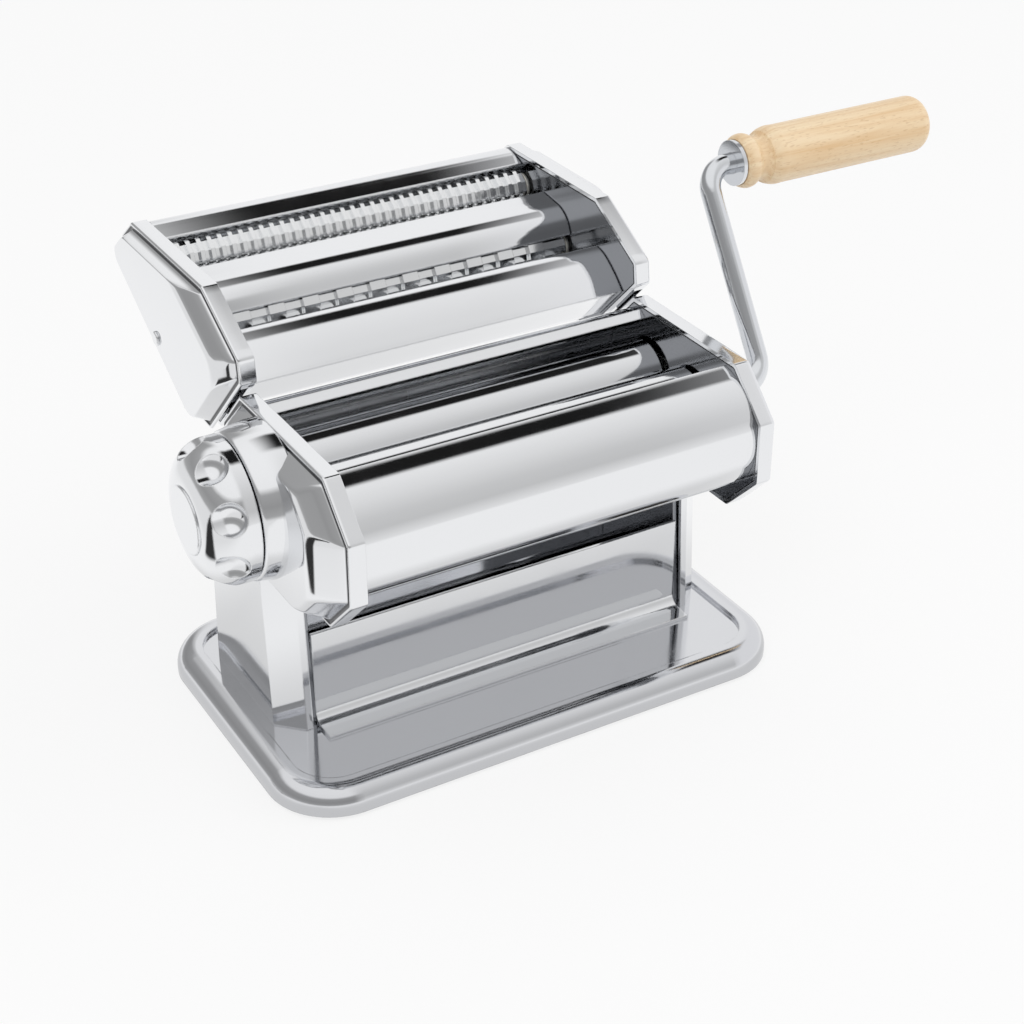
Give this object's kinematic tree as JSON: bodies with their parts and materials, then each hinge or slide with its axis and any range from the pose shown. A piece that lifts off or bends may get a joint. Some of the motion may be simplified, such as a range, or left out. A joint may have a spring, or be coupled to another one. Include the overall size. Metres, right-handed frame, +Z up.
{
  "type": "hand-cranked pasta roller machine",
  "caption": "Chromed hand-cranked pasta roller on a tray base, with a gap knob, paired rollers, a slide-on double cutter unit and a wooden crank grip.",
  "frame": {"origin": "middle of the whole machine seen from above, on the plane that its feet stand on", "axes": "+X along the rollers towards the crank, +Y to the back where the cutter unit sits, +Z up"},
  "size_m": [0.312, 0.178, 0.172],
  "materials": {
    "chrome_plate": "polished chrome plate on pressed steel",
    "plated_rod": "bright plated rod",
    "roller_steel": "ground and plated rollers",
    "cutter_steel": "machined plated cutters",
    "gear_steel": "machined steel, light oil",
    "spring_steel": "plain spring steel strip",
    "zinc_plate": "bright zinc plated sheet",
    "white_nylon": "moulded nylon bearings",
    "foot_rubber": "soft black rubber",
    "beech": "turned and sanded beech, clear finish"
  },
  "bodies": {
    "frame": {"base_tray": "chrome_plate", "base_feet": "foot_rubber", "left_upright": "chrome_plate", "right_upright": "chrome_plate", "front_panel": "chrome_plate", "rear_panel": "chrome_plate", "left_frame_plate": "zinc_plate", "right_frame_plate": "zinc_plate", "left_cover": "chrome_plate", "right_cover": "chrome_plate", "front_apron": "chrome_plate", "rear_apron": "chrome_plate", "tie_rods": "plated_rod", "tie_rod_nuts": "plated_rod", "front_roller_bushes": "white_nylon", "front_scraper": "spring_steel", "rear_scraper": "spring_steel", "knob_bush": "white_nylon", "cutter_rails": "zinc_plate"},
    "front_roller": {"front_roller": "roller_steel", "front_roller_gear": "gear_steel"},
    "crank": {"crank_rod": "plated_rod", "crank_washer": "plated_rod"},
    "grip": {"crank_grip": "beech"},
    "carriage": {"left_bearing_block": "white_nylon", "right_bearing_block": "white_nylon"},
    "rear_roller": {"rear_roller": "roller_steel", "rear_roller_gear": "gear_steel"},
    "knob_shaft": {"knob_shaft": "plated_rod", "gap_cam": "gear_steel"},
    "knob": {"adjusting_knob": "chrome_plate", "knob_cap": "chrome_plate", "index_pin": "plated_rod"},
    "cutter_unit": {"cutter_left_cover": "chrome_plate", "cutter_right_cover": "chrome_plate", "cutter_left_plate": "zinc_plate", "cutter_right_plate": "zinc_plate", "cutter_bushes": "white_nylon", "cutter_tie_rods": "plated_rod", "wide_comb_front": "spring_steel", "wide_comb_rear": "spring_steel", "fine_comb_front": "spring_steel", "fine_comb_rear": "spring_steel", "cutter_front_hood": "chrome_plate", "cutter_middle_hood": "chrome_plate", "cutter_rear_hood": "chrome_plate", "cutter_cover_rivets": "chrome_plate"},
    "wide_front": {"wide_cutter_front": "cutter_steel", "wide_gear_front": "gear_steel", "wide_drive_socket": "plated_rod"},
    "wide_rear": {"wide_cutter_rear": "cutter_steel", "wide_gear_rear": "gear_steel"},
    "fine_rear": {"fine_cutter_rear": "cutter_steel", "fine_gear_rear": "gear_steel", "fine_drive_socket": "plated_rod"},
    "fine_front": {"fine_cutter_front": "cutter_steel", "fine_gear_front": "gear_steel"}
  },
  "joints": [
    {"name": "crank_turn", "type": "hinge", "parent": "frame", "child": "front_roller", "pos_m": [0, -0.0481, 0.096], "axis": [1, 0, 0], "continuous": true},
    {"name": "crank_pull", "type": "slide", "parent": "front_roller", "child": "crank", "axis": [1, 0, 0], "range_m": [0, 0.03]},
    {"name": "grip_spin", "type": "hinge", "parent": "crank", "child": "grip", "pos_m": [0.11, -0.0062, 0.1614], "axis": [1, 0, 0], "continuous": true},
    {"name": "knob_turn", "type": "hinge", "parent": "frame", "child": "knob_shaft", "pos_m": [-0.14, -0.035, 0.096], "axis": [1, 0, 0], "range_deg": [0, 300]},
    {"name": "knob_pull", "type": "slide", "parent": "knob_shaft", "child": "knob", "axis": [-1, 0, 0], "range_m": [0, 0.006], "stiffness_N_per_m": 600},
    {"name": "gap_slide", "type": "slide", "parent": "frame", "child": "carriage", "axis": [0, 1, 0], "range_m": [0, 0.002]},
    {"name": "rear_roller_turn", "type": "hinge", "parent": "carriage", "child": "rear_roller", "pos_m": [0, -0.0219, 0.096], "axis": [1, 0, 0], "continuous": true},
    {"name": "cutter_lift", "type": "slide", "parent": "frame", "child": "cutter_unit", "axis": [0, -0.7071, 0.7071], "range_m": [0, 0.045]},
    {"name": "wide_drive", "type": "hinge", "parent": "cutter_unit", "child": "wide_front", "pos_m": [0, 0.02478, 0.11669], "axis": [1, 0, 0], "continuous": true},
    {"name": "wide_follow", "type": "hinge", "parent": "cutter_unit", "child": "wide_rear", "pos_m": [0, 0.03822, 0.12311], "axis": [1, 0, 0], "continuous": true},
    {"name": "fine_drive", "type": "hinge", "parent": "cutter_unit", "child": "fine_rear", "pos_m": [0, 0.06675, 0.13671], "axis": [1, 0, 0], "continuous": true},
    {"name": "fine_follow", "type": "hinge", "parent": "cutter_unit", "child": "fine_front", "pos_m": [0, 0.0533, 0.1303], "axis": [1, 0, 0], "continuous": true}
  ],
  "couplings": [
    {"joint": "rear_roller_turn", "follows": "crank_turn", "ratio": -1},
    {"joint": "knob_turn", "follows": "gap_slide", "rad_per_m": 2618},
    {"joint": "wide_follow", "follows": "wide_drive", "ratio": -1},
    {"joint": "fine_follow", "follows": "fine_drive", "ratio": -1}
  ]
}
